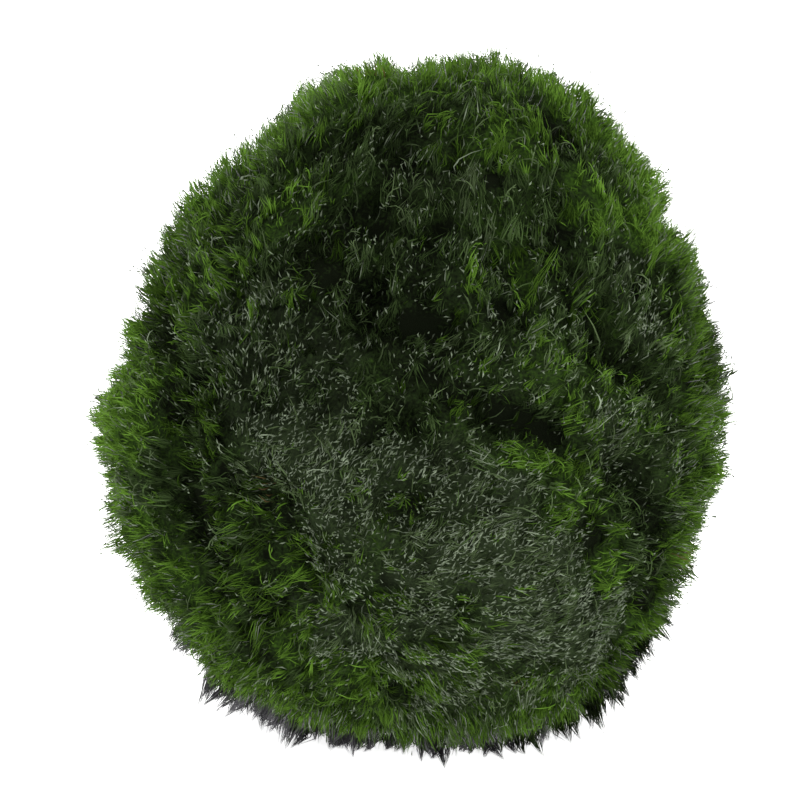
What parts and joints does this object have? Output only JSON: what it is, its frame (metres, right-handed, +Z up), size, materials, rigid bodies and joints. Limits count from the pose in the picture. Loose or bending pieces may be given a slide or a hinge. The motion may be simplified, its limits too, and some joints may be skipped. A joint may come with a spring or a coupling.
{
  "type": "marimo moss ball",
  "caption": "Egg-shaped ball of shaggy dark green moss, with lumps, hollows and short tufts, that rests on a small flat spot.",
  "frame": {"origin": "middle of the ball's plan, at the level of the flat spot that it rests on", "axes": "+Z up through the ball's longest height, -Y the front with the flat-combed patch, +X the front's right-hand side"},
  "size_m": [0.0618, 0.0616, 0.0635],
  "materials": {
    "moss": "damp matted threads"
  },
  "bodies": {
    "root": {"moss_ball": "moss"}
  },
  "joints": []
}
